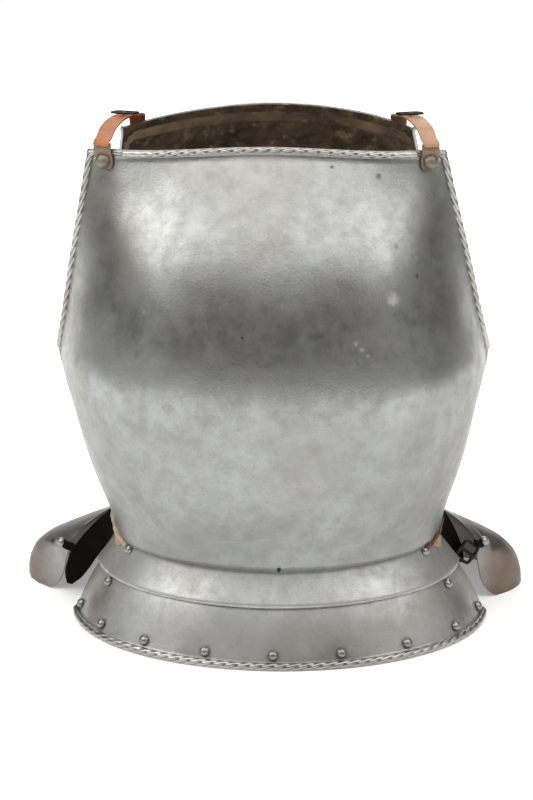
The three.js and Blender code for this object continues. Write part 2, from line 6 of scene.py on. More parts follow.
import bmesh
import bpy
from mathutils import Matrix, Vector, noise


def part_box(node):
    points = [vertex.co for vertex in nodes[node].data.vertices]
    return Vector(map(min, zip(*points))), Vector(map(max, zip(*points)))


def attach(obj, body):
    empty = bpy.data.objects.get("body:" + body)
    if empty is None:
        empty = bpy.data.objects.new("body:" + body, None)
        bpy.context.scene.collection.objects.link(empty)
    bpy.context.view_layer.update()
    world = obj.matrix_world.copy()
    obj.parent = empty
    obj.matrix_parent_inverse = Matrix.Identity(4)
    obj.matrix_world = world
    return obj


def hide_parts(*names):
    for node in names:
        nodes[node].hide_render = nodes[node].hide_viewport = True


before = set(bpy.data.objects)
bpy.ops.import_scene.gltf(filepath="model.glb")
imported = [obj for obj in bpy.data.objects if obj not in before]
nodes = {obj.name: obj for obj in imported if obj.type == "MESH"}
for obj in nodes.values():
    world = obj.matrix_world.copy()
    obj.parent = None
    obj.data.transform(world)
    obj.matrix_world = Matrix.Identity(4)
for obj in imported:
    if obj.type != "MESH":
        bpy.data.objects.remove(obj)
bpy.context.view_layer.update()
mm = 0.001


def deselectAll():
    if bpy.context.object and bpy.context.object.mode != "OBJECT":
        bpy.ops.object.mode_set(mode="OBJECT")
    bpy.ops.object.select_all(action="DESELECT")


def newMaterial(name):
    material = bpy.data.materials.new(name)
    material.use_nodes = True
    tree = material.node_tree
    tree.nodes.clear()
    out = tree.nodes.new("ShaderNodeOutputMaterial")
    shader = tree.nodes.new("ShaderNodeBsdfPrincipled")
    tree.links.new(shader.outputs[0], out.inputs[0])
    return material, tree, shader


def noiseNode(tree, scale, detail=6.0, rough=0.6, stretch=(1, 1, 1), distort=0.0):
    coord = tree.nodes.new("ShaderNodeTexCoord")
    mapping = tree.nodes.new("ShaderNodeMapping")
    mapping.inputs["Scale"].default_value = stretch
    texture = tree.nodes.new("ShaderNodeTexNoise")
    texture.inputs["Scale"].default_value = scale
    texture.inputs["Detail"].default_value = detail
    texture.inputs["Roughness"].default_value = rough
    texture.inputs["Distortion"].default_value = distort
    tree.links.new(coord.outputs["Object"], mapping.inputs[0])
    tree.links.new(mapping.outputs[0], texture.inputs["Vector"])
    return texture.outputs["Fac"]


def rampNode(tree, value, stops):
    ramp = tree.nodes.new("ShaderNodeValToRGB")
    elements = ramp.color_ramp.elements
    while len(elements) < len(stops):
        elements.new(0.5)
    for element, (place, color) in zip(elements, stops):
        element.position = place
        element.color = (*color, 1.0)
    tree.links.new(value, ramp.inputs[0])
    return ramp.outputs[0]


def mixNode(tree, share, low, high, blend="MIX"):
    mix = tree.nodes.new("ShaderNodeMix")
    mix.data_type = "RGBA"
    mix.blend_type = blend
    for slotIndex, value in ((0, share), (6, low), (7, high)):
        if isinstance(value, (int, float)):
            mix.inputs[slotIndex].default_value = value
        elif isinstance(value, tuple):
            mix.inputs[slotIndex].default_value = (*value, 1.0)
        else:
            tree.links.new(value, mix.inputs[slotIndex])
    return mix.outputs[2]


def grey(value):
    return (value, value, value)


def bumpNode(tree, shader, heights):
    # heights: pairs of a value and its depth in metres, stacked
    last = None
    for value, depth in heights:
        bump = tree.nodes.new("ShaderNodeBump")
        bump.inputs["Strength"].default_value = 1.0
        bump.inputs["Distance"].default_value = depth
        tree.links.new(value, bump.inputs["Height"])
        if last is not None:
            tree.links.new(last, bump.inputs["Normal"])
        last = bump.outputs[0]
    tree.links.new(last, shader.inputs["Normal"])


steelLook = {
    "base": (0.31, 0.318, 0.315),
    "dark": (0.17, 0.165, 0.15),
    "pale": (0.40, 0.41, 0.41),
    "olive": (0.235, 0.22, 0.175),
    "rust": (0.20, 0.11, 0.065),
    "pit": (0.09, 0.08, 0.07),
    # painted shade for the grooves of the roped borders
    "groove": (0.07, 0.06, 0.05),
    "wingPale": (0.23, 0.19, 0.155),
    "wingDark": (0.13, 0.09, 0.065),
    "roughLow": 0.33,
    "roughHigh": 0.47,
    "dentDepth": 0.7 * mm,
    "brushDepth": 0.10 * mm,
    "fineDepth": 0.04 * mm,
    "pitDepth": 0.12 * mm,
    "metal": 1.0,
}


def sideMask(tree, low, high, middle=0.0):
    # 0 near the middle of the body and 1 towards either side
    coord = tree.nodes.new("ShaderNodeTexCoord")
    split = tree.nodes.new("ShaderNodeSeparateXYZ")
    tree.links.new(coord.outputs["Object"], split.inputs[0])
    offset = tree.nodes.new("ShaderNodeMath")
    offset.operation = "SUBTRACT"
    offset.inputs[1].default_value = middle
    tree.links.new(split.outputs[0], offset.inputs[0])
    size = tree.nodes.new("ShaderNodeMath")
    size.operation = "ABSOLUTE"
    tree.links.new(offset.outputs[0], size.inputs[0])
    span = tree.nodes.new("ShaderNodeMapRange")
    span.interpolation_type = "SMOOTHSTEP"
    tree.links.new(size.outputs[0], span.inputs[0])
    span.inputs[1].default_value = low
    span.inputs[2].default_value = high
    return span.outputs[0]


def spotMask(tree, centre, radius):
    # 1 at a place on the plate, given in millimetres, fading to 0 at a ragged edge
    coord = tree.nodes.new("ShaderNodeTexCoord")
    apart = tree.nodes.new("ShaderNodeVectorMath")
    apart.operation = "DISTANCE"
    apart.inputs[1].default_value = [value * mm for value in centre]
    tree.links.new(coord.outputs["Object"], apart.inputs[0])
    ragged = tree.nodes.new("ShaderNodeMath")
    ragged.operation = "MULTIPLY_ADD"
    tree.links.new(noiseNode(tree, 1.6 / (radius * mm), 5.0, 0.7), ragged.inputs[0])
    ragged.inputs[1].default_value = 1.4 * radius * mm
    tree.links.new(apart.outputs["Value"], ragged.inputs[2])
    span = tree.nodes.new("ShaderNodeMapRange")
    span.interpolation_type = "SMOOTHSTEP"
    tree.links.new(ragged.outputs[0], span.inputs[0])
    span.inputs[1].default_value = 1.75 * radius * mm
    span.inputs[2].default_value = 0.75 * radius * mm
    return span.outputs[0]


def makeSteel(name, dark, rust, look=steelLook, rougher=0.0, wings=None, marks=(), roped=False):
    material, tree, shader = newMaterial(name)
    broad = noiseNode(tree, 9.0, 5.0, 0.6, distort=0.4)
    cloudy = noiseNode(tree, 60.0, 8.0, 0.72)
    fine = noiseNode(tree, 620.0, 3.0, 0.6)
    brushed = noiseNode(tree, 120.0, 4.0, 0.6, stretch=(1.0, 1.0, 0.12))
    share = rampNode(tree, broad, [(0.36, grey(0)), (0.66, grey(1))])
    color = mixNode(tree, share, look["base"], look["pale"])
    share = rampNode(tree, cloudy, [(0.42, grey(0)), (0.70, grey(0.55 * dark))])
    color = mixNode(tree, share, color, look["dark"])
    tint = noiseNode(tree, 5.0, 3.0, 0.55, distort=0.6)
    share = rampNode(tree, tint, [(0.45, grey(0)), (0.68, grey(0.5))])
    color = mixNode(tree, share, color, look["olive"])
    # pits: small dark specks
    specks = noiseNode(tree, 520.0, 2.0, 0.5)
    share = rampNode(tree, specks, [(0.70, grey(0)), (0.76, grey(0.6))])
    color = mixNode(tree, share, color, look["pit"])
    speckled = noiseNode(tree, 1100.0, 2.0, 0.7)
    share = rampNode(tree, speckled, [(0.45, grey(0)), (0.72, grey(0.30))])
    color = mixNode(tree, share, color, look["dark"])
    patches = noiseNode(tree, 26.0, 6.0, 0.68, distort=0.3)
    share = rampNode(tree, patches, [(0.60, grey(0)), (0.74, grey(rust))])
    color = mixNode(tree, share, color, look["rust"])
    for centre, radius, share, tone in marks:
        mark = mixNode(tree, spotMask(tree, centre, radius), grey(0.0), grey(share))
        color = mixNode(tree, mark, color, tone)
    if roped:
        # painted shade: darker where the twist grooves the roll, also striped on the smooth rim
        groove = tree.nodes.new("ShaderNodeAttribute")
        groove.attribute_name = "groove"
        share = rampNode(tree, groove.outputs["Fac"], [(0.35, grey(0)), (0.95, grey(0.72))])
        color = mixNode(tree, share, color, look["groove"])
    if wings:
        browned = mixNode(tree, patches, look["wingPale"], look["wingDark"])
        color = mixNode(tree, sideMask(tree, *wings), color, browned)
    tree.links.new(color, shader.inputs["Base Color"])
    shader.inputs["Metallic"].default_value = look["metal"]
    smooth = grey(look["roughLow"] + rougher)
    coarse = grey(look["roughHigh"] + rougher)
    rough = rampNode(tree, cloudy, [(0.35, smooth), (0.70, coarse)])
    tree.links.new(rough, shader.inputs["Roughness"])
    dents = noiseNode(tree, 13.0, 3.0, 0.5)
    depths = [(dents, "dentDepth"), (brushed, "brushDepth"), (fine, "fineDepth"), (specks, "pitDepth")]
    bumpNode(tree, shader, [(value, look[depth]) for value, depth in depths])
    return material


innerLook = {
    "brown": (0.200, 0.128, 0.074),
    "black": (0.036, 0.024, 0.016),
    # tan and tanDark are painted light: the inside catching light just below the rim
    "tan": (0.62, 0.47, 0.31),
    "tanDark": (0.22, 0.14, 0.08),
    "spot": (0.46, 0.34, 0.20),
    "rough": 0.85,
    "patchDepth": 0.6 * mm,
    "spotDepth": 0.3 * mm,
}


def makeInner(look=innerLook):
    # rough brown inside, with a tan stretch of painted light below the dark turned rim
    material, tree, shader = newMaterial("brownInside")
    patches = noiseNode(tree, 34.0, 8.0, 0.72, distort=0.5)
    spots = noiseNode(tree, 90.0, 6.0, 0.7)
    share = rampNode(tree, patches, [(0.38, grey(0)), (0.64, grey(1))])
    color = mixNode(tree, share, look["black"], look["brown"])
    share = rampNode(tree, spots, [(0.54, grey(0)), (0.70, grey(0.85))])
    color = mixNode(tree, share, color, look["spot"])
    # painted light: a tan band a little below the rim, broken by noise
    below = tree.nodes.new("ShaderNodeAttribute")
    below.attribute_name = "belowRim"
    steps = [(0.0, grey(0)), (0.30, grey(0)), (0.36, grey(1)), (0.66, grey(1)), (0.74, grey(0))]
    band = rampNode(tree, below.outputs["Fac"], steps)
    broken = noiseNode(tree, 14.0, 4.0, 0.6)
    band = mixNode(tree, band, grey(0), rampNode(tree, broken, [(0.40, grey(0.1)), (0.58, grey(0.9))]))
    color = mixNode(tree, band, color, mixNode(tree, patches, look["tan"], look["tanDark"]))
    tree.links.new(color, shader.inputs["Base Color"])
    shader.inputs["Roughness"].default_value = look["rough"]
    bumpNode(tree, shader, [(patches, look["patchDepth"]), (spots, look["spotDepth"])])
    return material


leatherLook = {
    "strapLeft": ((0.42, 0.155, 0.058), (0.25, 0.082, 0.032)),
    "strapRight": ((0.42, 0.235, 0.135), (0.30, 0.15, 0.08)),
    "tab": ((0.27, 0.19, 0.125), (0.14, 0.095, 0.062)),
    # dark: painted shade, near-black and with little shine, for the shaded side straps and hasps
    "dark": ((0.0035, 0.002, 0.0015), (0.0015, 0.001, 0.0008)),
    "band": ((0.58, 0.43, 0.33), (0.32, 0.21, 0.15)),
    "bandDark": ((0.16, 0.075, 0.05), (0.07, 0.03, 0.02)),
    "worn": 1.6,
    "scuffDepth": 0.3 * mm,
    "grainDepth": 0.25 * mm,
}


def makeLeather(name, colors, rough, shine=0.35):
    material, tree, shader = newMaterial(name)
    patches = noiseNode(tree, 45.0, 6.0, 0.65, distort=0.5)
    grain = tree.nodes.new("ShaderNodeTexVoronoi")
    grain.inputs["Scale"].default_value = 900.0
    coord = tree.nodes.new("ShaderNodeTexCoord")
    tree.links.new(coord.outputs["Object"], grain.inputs["Vector"])
    share = rampNode(tree, patches, [(0.35, grey(0)), (0.70, grey(1))])
    color = mixNode(tree, share, colors[0], colors[1])
    scuff = noiseNode(tree, 240.0, 5.0, 0.7, stretch=(1, 1, 0.4))
    worn = tuple(min(1.0, part * leatherLook["worn"]) for part in colors[0])
    share = rampNode(tree, scuff, [(0.56, grey(0)), (0.74, grey(0.55))])
    color = mixNode(tree, share, color, worn)
    tree.links.new(color, shader.inputs["Base Color"])
    uneven = rampNode(tree, patches, [(0.3, grey(rough - 0.12)), (0.7, grey(rough + 0.1))])
    tree.links.new(uneven, shader.inputs["Roughness"])
    shader.inputs["Specular IOR Level"].default_value = shine
    depths = [(scuff, leatherLook["scuffDepth"]), (grain.outputs["Distance"], leatherLook["grainDepth"])]
    bumpNode(tree, shader, depths)
    return material


ironLook = {
    "base": (0.030, 0.027, 0.024),
    "rust": (0.11, 0.055, 0.03),
    "bare": (0.20, 0.19, 0.18),
    "metal": 0.85,
    "depth": 0.3 * mm,
}


def makeIron():
    material, tree, shader = newMaterial("blackenedIron")
    patches = noiseNode(tree, 160.0, 6.0, 0.65)
    share = rampNode(tree, patches, [(0.5, grey(0)), (0.68, grey(0.7))])
    color = mixNode(tree, share, ironLook["base"], ironLook["rust"])
    worn = noiseNode(tree, 300.0, 4.0, 0.6)
    share = rampNode(tree, worn, [(0.58, grey(0)), (0.70, grey(0.7))])
    color = mixNode(tree, share, color, ironLook["bare"])
    tree.links.new(color, shader.inputs["Base Color"])
    shader.inputs["Metallic"].default_value = ironLook["metal"]
    uneven = rampNode(tree, patches, [(0.3, grey(0.32)), (0.7, grey(0.62))])
    tree.links.new(uneven, shader.inputs["Roughness"])
    bumpNode(tree, shader, [(patches, ironLook["depth"])])
    return material


# marks on the breast, real rust and pits and also painted shade and painted highlights: place in
# millimetres, radius, how strong, and colour
breastMarksPaintedLight = [
    ((-34, -143, 330), 80, 0.34, (0.165, 0.150, 0.112)),  # painted shade: a brown-grey dark band across the chest
    ((70, -139, 328), 76, 0.38, (0.155, 0.138, 0.102)),
    ((2, -128, 392), 34, 0.40, (0.190, 0.175, 0.135)),
    ((-160, -80, 328), 42, 0.60, (0.100, 0.098, 0.090)),  # painted shade: dark sweep below the right arm
    ((-118, -116, 316), 40, 0.50, (0.110, 0.107, 0.096)),
    ((-75, -138, 304), 34, 0.40, (0.120, 0.114, 0.098)),
    ((158, -80, 322), 42, 0.60, (0.130, 0.118, 0.096)),  # and painted shade below the left arm
    ((140, -78, 396), 34, 0.40, (0.165, 0.150, 0.125)),
    ((107.6, -118.8, 341.4), 9, 0.8, (0.66, 0.66, 0.64)),  # painted highlights: small pale glints
    ((-110.5, -123.0, 330.5), 2.6, 0.9, (0.70, 0.70, 0.68)),
    ((-98.6, -128.0, 334.7), 2.4, 0.9, (0.70, 0.70, 0.68)),
    ((-87.8, -132.0, 337.8), 2.6, 0.9, (0.70, 0.70, 0.68)),
    ((75.8, -146.4, 309.0), 2.6, 0.8, (0.62, 0.62, 0.60)),
    ((81.0, -146.0, 303.5), 3.0, 0.8, (0.62, 0.62, 0.60)),
    ((86.5, -145.7, 297.8), 2.6, 0.8, (0.62, 0.62, 0.60)),
    ((110.3, -96.9, 383.9), 4.5, 0.9, (0.120, 0.055, 0.032)),  # rust
    ((124.7, -92.0, 374.4), 3.0, 0.9, (0.130, 0.058, 0.032)),
    ((129.3, -96.4, 357.2), 3.6, 0.9, (0.120, 0.055, 0.032)),
    ((54.1, -76.2, 451.3), 2.4, 0.9, (0.035, 0.030, 0.026)),  # pits
    ((95.9, -72.8, 442.5), 4.0, 0.8, (0.060, 0.050, 0.042)),
    ((-23.8, -156.1, 316.9), 2.0, 0.9, (0.035, 0.030, 0.026)),
]
skirtMarks = [
    ((-166, -60, 28), 34, 0.8, (0.185, 0.150, 0.122)),
    ((178, -60, 30), 34, 0.6, (0.150, 0.135, 0.115)),
    ((60, -150, 12), 30, 0.5, (0.170, 0.150, 0.125)),
    ((-70, -145, 14), 26, 0.4, (0.175, 0.150, 0.122)),
]
# a darker ring round each hem rivet on the skirt
rivetDarkRing = {"radius": 8.5, "share": 0.75, "tone": (0.125, 0.098, 0.075)}
for node in sorted(nodes):
    if node.startswith("hem_rivet"):
        low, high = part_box(node)
        centre = [0.5 * (low[k] + high[k]) / mm for k in range(3)]
        skirtMarks.append((centre, rivetDarkRing["radius"], rivetDarkRing["share"], rivetDarkRing["tone"]))
paleSteel = {**steelLook, "base": (0.50, 0.505, 0.49), "pale": (0.60, 0.605, 0.59), "metal": 0.72}
steel = makeSteel("mottledSteel", 0.7, 0.10, marks=breastMarksPaintedLight)
skirtSteel = makeSteel("skirtSteel", 0.8, 0.10, look=paleSteel, rougher=0.06, marks=skirtMarks)
steelBrown = makeSteel("brownedSteel", 0.9, 0.45, rougher=0.05)
wingSteel = makeSteel("wingSteel", 0.7, 0.2, rougher=0.03, wings=(0.19, 0.235, -0.012))
ropeLook = {**steelLook, "base": (0.46, 0.45, 0.42), "pale": (0.56, 0.55, 0.52)}
steelRope = makeSteel("ropedSteel", 0.3, 0.05, look=ropeLook, roped=True)
rivetSteel = makeSteel("rivetSteel", 0.2, 0.05)
wornLook = {
    **steelLook,
    "base": (0.21, 0.185, 0.15),
    "pale": (0.30, 0.27, 0.225),
    "dark": (0.06, 0.05, 0.04),
    "metal": 0.9,
}
wornRivet = makeSteel("wornRivet", 1.0, 0.5, look=wornLook, rougher=0.12)
orangeLeather = makeLeather("orangeLeather", leatherLook["strapLeft"], 0.5)
strapRightLeather = makeLeather("strapRightLeather", leatherLook["strapRight"], 0.5)
tabLeather = makeLeather("tabLeather", leatherLook["tab"], 0.7)
darkLeather = makeLeather("darkLeather", leatherLook["dark"], 0.5, shine=0.06)
bandLeather = makeLeather("bandLeather", leatherLook["band"], 0.6)
bandDarkLeather = makeLeather("bandDarkLeather", leatherLook["bandDark"], 0.6)
blackIron = makeIron()
innerBrown = makeInner()
print("materials made")


def cadCopy(node, name):
    # a merged copy of a CAD node's mesh, ready to be smoothed
    deselectAll()
    piece = bpy.data.objects.new(name, nodes[node].data.copy())
    bpy.context.scene.collection.objects.link(piece)
    piece.data.materials.clear()
    piece.select_set(True)
    bpy.context.view_layer.objects.active = piece
    bpy.ops.object.mode_set(mode="EDIT")
    bpy.ops.mesh.select_all(action="SELECT")
    bpy.ops.mesh.remove_doubles(threshold=0.00002)
    bpy.ops.mesh.tris_convert_to_quads(face_threshold=math.radians(35), shape_threshold=math.radians(60))
    bpy.ops.object.mode_set(mode="OBJECT")
    return piece


def finishPiece(piece, node, material):
    piece.data.materials.clear()
    piece.data.materials.append(material)
    deselectAll()
    piece.select_set(True)
    bpy.context.view_layer.objects.active = piece
    bpy.ops.object.shade_smooth_by_angle(angle=math.radians(40))
    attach(piece, "root")
    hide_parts(*([node] if isinstance(node, str) else node))


def smoothCopy(node, name, slotName, material, levels=2, crease=0.0, sharp=50.0, first=0):
    # a CAD node's copy made smooth; edges sharper than an angle keep their crease,
    # and first is a number of plain divisions that hold the shape closer
    piece = cadCopy(node, name)
    mesh = bmesh.new()
    mesh.from_mesh(piece.data)
    creases = mesh.edges.layers.float.get("crease_edge") or mesh.edges.layers.float.new("crease_edge")
    for edge in mesh.edges:
        if crease and len(edge.link_faces) == 2 and edge.calc_face_angle(0.0) > math.radians(sharp):
            edge[creases] = crease
    mesh.to_mesh(piece.data)
    mesh.free()
    deselectAll()
    piece.select_set(True)
    bpy.context.view_layer.objects.active = piece
    for kind, count in (("SIMPLE", first), ("CATMULL_CLARK", levels)):
        if count:
            modifier = piece.modifiers.new("smooth", "SUBSURF")
            modifier.subdivision_type = kind
            modifier.levels = modifier.render_levels = count
            bpy.ops.object.modifier_apply(modifier="smooth")
    finishPiece(piece, node, material)
    return piece


def paintInside(piece, material, centre, rimSpan=0.0):
    # faces that look at the middle of the body take another material,
    # and points know how far below the rim they are
    piece.data.materials.append(material)
    for face in piece.data.polygons:
        outward = Vector((face.center.x - centre.x, face.center.y - centre.y, 0))
        if face.normal.dot(outward.normalized()) < -0.35:
            face.material_index = 1
    if rimSpan:
        bins = {}
        step = 4 * mm
        for vertex in piece.data.vertices:
            place = round(vertex.co.x / step)
            bins[place] = max(bins.get(place, 0), vertex.co.z)
        layer = piece.data.attributes.new("belowRim", "FLOAT", "POINT")
        for vertex, value in zip(piece.data.vertices, layer.data):
            place = round(vertex.co.x / step)
            near = [bins[k] for k in range(place - 3, place + 4) if k in bins]
            value.value = min(1.0, (sum(near) / len(near) - vertex.co.z) / rimSpan)


plateSmooth = {"levels": 2, "crease": 0.9, "sharp": 55.0}
wingSmooth = {"levels": 1, "crease": 1.0, "sharp": 40.0, "first": 1}
breast = smoothCopy("breastplate", "breastPlate", "steel", steel, **plateSmooth)
back = smoothCopy("backplate", "backPlate", "steel", steelBrown, **plateSmooth)
upperSkirt = smoothCopy("upper_skirt_plate", "upperSkirt", "steel", skirtSteel, **plateSmooth)
lowerSkirt = smoothCopy("lower_skirt_plate", "lowerSkirt", "steel", skirtSteel, **plateSmooth)
rearSkirt = smoothCopy("rear_skirt", "rearSkirt", "steel", wingSteel, **wingSmooth)
hammered = {
    "ridge": 1.8 * mm,
    "ridgeWidth": 12 * mm,
    "ridgeX": -5 * mm,
    "ridgeSpan": (140 * mm, 450 * mm),
    "ridgeFade": (100 * mm, 80 * mm),
    "swellTop": 430 * mm,
    "swellFade": 30 * mm,
    "swell": 4.0 * mm,
    "swellAt": (88 * mm, 372 * mm),
    "swellSize": (56 * mm, 46 * mm),
    "unevenness": 0.55 * mm,
    "grain": 3.2,
    "upward": 3.0,
}


def hammer(piece, look=hammered, ridge=False):
    # inner and outer faces move together, so the plate keeps its thickness
    for vertex in piece.data.vertices:
        place = vertex.co.copy()
        outward = Vector((place.x, place.y, 0)).normalized()
        place3d = Vector((outward.x, outward.y, place.z * look["upward"]))
        push = look["unevenness"] * noise.noise(place3d * look["grain"])
        if ridge and place.y < 0:
            across = (place.x - look["ridgeX"]) / look["ridgeWidth"]
            low, high = look["ridgeSpan"]
            fadeLow, fadeHigh = look["ridgeFade"]
            reach = min(1.0, max(0.0, (place.z - low) / fadeLow), max(0.0, (high - place.z) / fadeHigh))
            push += look["ridge"] * math.exp(-across * across) * reach
            aside = (abs(place.x - look["ridgeX"]) - look["swellAt"][0]) / look["swellSize"][0]
            above = (place.z - look["swellAt"][1]) / look["swellSize"][1]
            belowNeck = min(1.0, max(0.0, (look["swellTop"] - place.z) / look["swellFade"]))
            push += look["swell"] * math.exp(-aside * aside - above * above) * belowNeck
        vertex.co = place + outward * push


hammer(breast, ridge=True)
insideCentre = Vector((3 * mm, 0, 0))
rimSpan = 26 * mm
paintInside(back, innerBrown, insideCentre, rimSpan)
paintInside(breast, innerBrown, insideCentre, rimSpan)
for piece in (breast, back, upperSkirt, lowerSkirt, rearSkirt):
    print(piece.name, len(piece.data.polygons), "faces")


rope = {
    "radius": 3.5 * mm,
    "groove": 0.85 * mm,
    "spacing": 11.0 * mm,
    "strands": 4,
    "sides": 24,
    "step": 1.4 * mm,
}


def sectionPoints(node, point, normal):
    # where the edges of a CAD node cross a plane
    data = nodes[node].data
    found = []
    for edge in data.edges:
        first, second = (data.vertices[index].co for index in edge.vertices)
        low, high = (first - point).dot(normal), (second - point).dot(normal)
        if (low < 0) != (high < 0):
            found.append(first.lerp(second, low / (low - high)))
    return found


def beadMiddle(points, toward, outward, reach=6.5 * mm, inset=2.4 * mm):
    # the middle of a border: the point near its end that stands out furthest,
    # and a little inside that
    end = max(points, key=toward)
    near = [p for p in points if (p - end).length < reach]
    return max(near, key=lambda p: p.dot(outward)) - outward * inset


def roundBorder(node, centre, angles, up, tilt=0.0):
    # a border that runs round the body, one section at each angle from the front
    path = []
    for angle in angles:
        turn = math.radians(angle)
        along = Vector((math.sin(turn), -math.cos(turn), 0))
        across = Vector((along.y, -along.x, 0))
        points = [p for p in sectionPoints(node, centre, across) if (p - centre).dot(along) > 0]
        if points:
            outward = (along + Vector((0, 0, tilt))).normalized()
            path.append(beadMiddle(points, lambda p: up * p.z, outward))
    return path


def armBorder(node, side, heights, back):
    # a border up the side of a plate, one level section at each height
    path = []
    for height in heights:
        level = sectionPoints(node, Vector((0, 0, height)), Vector((0, 0, 1)))
        points = [p for p in level if side * p.x > 0]
        if points:
            path.append(beadMiddle(points, lambda p: back * p.y, Vector((side, -0.3, 0)).normalized()))
    return path


def smoothPath(path, step):
    # evenly spaced points on a softened copy of a path
    for _ in range(3):
        path = [path[0]] + [(a + 2 * b + c) / 4 for a, b, c in zip(path, path[1:], path[2:])] + [path[-1]]
    lengths = [0.0]
    for first, second in zip(path, path[1:]):
        lengths.append(lengths[-1] + (second - first).length)
    count = max(2, round(lengths[-1] / step))
    result = []
    row = 0
    for k in range(count + 1):
        at = lengths[-1] * k / count
        while row < len(path) - 2 and lengths[row + 1] < at:
            row += 1
        share = (at - lengths[row]) / max(lengths[row + 1] - lengths[row], 1e-9)
        result.append(path[row].lerp(path[row + 1], min(max(share, 0.0), 1.0)))
    return result


def ropePiece(name, path, hand, fade=0.0, fadeEnd=0.0, look=rope, radius=None, ends=6 * mm, made=None):
    # a filed, twisted roll along a path; its twist dies out over fade at the
    # first end and over fadeEnd at the last
    radius = radius or look["radius"]
    path = smoothPath(path, look["step"])
    mesh = bmesh.new()
    grooves = mesh.verts.layers.float.new("groove")
    rings = []
    travelled = 0.0
    total = sum((b - a).length for a, b in zip(path, path[1:]))
    side = None
    for index, point in enumerate(path):
        ahead = path[min(index + 1, len(path) - 1)] - path[max(index - 1, 0)]
        ahead.normalize()
        if side is None:
            side = ahead.orthogonal().normalized()
        side = (side - ahead * side.dot(ahead)).normalized()
        lift = ahead.cross(side)
        if index:
            travelled += (point - path[index - 1]).length
        turn = hand * 2 * math.pi * travelled / (look["spacing"] * look["strands"])
        depth = look["groove"]
        if fade:
            depth *= min(1.0, travelled / fade)
        if fadeEnd:
            depth *= min(1.0, (total - travelled) / fadeEnd)
        taper = min(1.0, 0.55 + travelled / ends, 0.55 + (total - travelled) / ends)
        ring = []
        for k in range(look["sides"]):
            angle = 2 * math.pi * k / look["sides"]
            wave = abs(math.cos(look["strands"] * (angle - turn) / 2))
            reach = (radius - depth * (1 - wave)) * taper
            vertex = mesh.verts.new(point + (side * math.cos(angle) + lift * math.sin(angle)) * reach)
            vertex[grooves] = (1 - wave) * depth / look["groove"]
            ring.append(vertex)
        rings.append(ring)
    for first, second in zip(rings, rings[1:]):
        for k in range(look["sides"]):
            j = (k + 1) % look["sides"]
            mesh.faces.new((first[k], first[j], second[j], second[k]))
    mesh.faces.new(list(reversed(rings[0])))
    mesh.faces.new(rings[-1])
    bmesh.ops.recalc_face_normals(mesh, faces=mesh.faces)
    data = bpy.data.meshes.new(name)
    mesh.to_mesh(data)
    mesh.free()
    piece = bpy.data.objects.new(name, data)
    bpy.context.scene.collection.objects.link(piece)
    material, slotName = made or (steelRope, "steel")
    data.materials.append(material)
    deselectAll()
    piece.select_set(True)
    bpy.context.view_layer.objects.active = piece
    bpy.ops.object.shade_smooth_by_angle(angle=math.radians(50))
    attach(piece, "root")
    return piece


def spread(first, last, count):
    return [first + (last - first) * k / (count - 1) for k in range(count)]


# each border: angles from the front or heights, count of sections, and its roll
neckBorder = {
    "from": -60,
    "to": 60,
    "count": 80,
    "tilt": 0.7,
    "behind": 20 * mm,
    "fade": 40 * mm,
    "fadeEnd": 30 * mm,
    "radius": 3.0 * mm,
}
armEdge = {"foot": 262 * mm, "belowTop": 7 * mm, "count": 60, "fade": 30 * mm, "radius": 3.3 * mm}
hemBorder = {
    "from": -86,
    "to": 86,
    "count": 150,
    "tilt": 0.3,
    "fade": 50 * mm,
    "radius": 3.7 * mm,
    "lowest": 3.8 * mm,  # keeps the roll above the floor
}
rimBorder = {"from": 118, "to": 242, "count": 90, "tilt": 0.7, "radius": 2.9 * mm, "ends": 150 * mm}
smoothRoll = {**rope, "groove": 0.0001 * mm}
breastLow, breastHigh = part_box("breastplate")
bodyCentre = Vector((0.5 * (breastLow[0] + breastHigh[0]), 0, 0))
neckAngles = spread(neckBorder["from"], neckBorder["to"], neckBorder["count"])
neckCentre = bodyCentre + Vector((0, neckBorder["behind"], 0))
neckPath = roundBorder("breastplate", neckCentre, neckAngles, 1, tilt=neckBorder["tilt"])
neckFades = {"fade": neckBorder["fade"], "fadeEnd": neckBorder["fadeEnd"]}
ropePiece("neckRope", neckPath, -1, radius=neckBorder["radius"], **neckFades)
armHeights = spread(armEdge["foot"], breastHigh[2] - armEdge["belowTop"], armEdge["count"])
for sideName, side in (("Left", -1), ("Right", 1)):
    armPath = armBorder("breastplate", side, armHeights, 1)
    ropePiece("armRope" + sideName, armPath, -side, fade=armEdge["fade"], radius=armEdge["radius"])
skirtLow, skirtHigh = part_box("lower_skirt_plate")
skirtCentre = Vector((0.5 * (skirtLow[0] + skirtHigh[0]), -5 * mm, 0))
hemAngles = spread(hemBorder["from"], hemBorder["to"], hemBorder["count"])
hemPath = roundBorder("lower_skirt_plate", skirtCentre, hemAngles, -1, tilt=hemBorder["tilt"])
hemPath = [Vector((p.x, p.y, max(p.z, hemBorder["lowest"]))) for p in hemPath]
hemFade = hemBorder["fade"]
ropePiece("hemRope", hemPath, -1, fade=hemFade, fadeEnd=hemFade, radius=hemBorder["radius"])
rimAngles = spread(rimBorder["from"], rimBorder["to"], rimBorder["count"])
rimPath = roundBorder("backplate", bodyCentre, rimAngles, 1, tilt=rimBorder["tilt"])
ropePiece("backRim", rimPath, 1, look=smoothRoll, radius=rimBorder["radius"], ends=rimBorder["ends"])
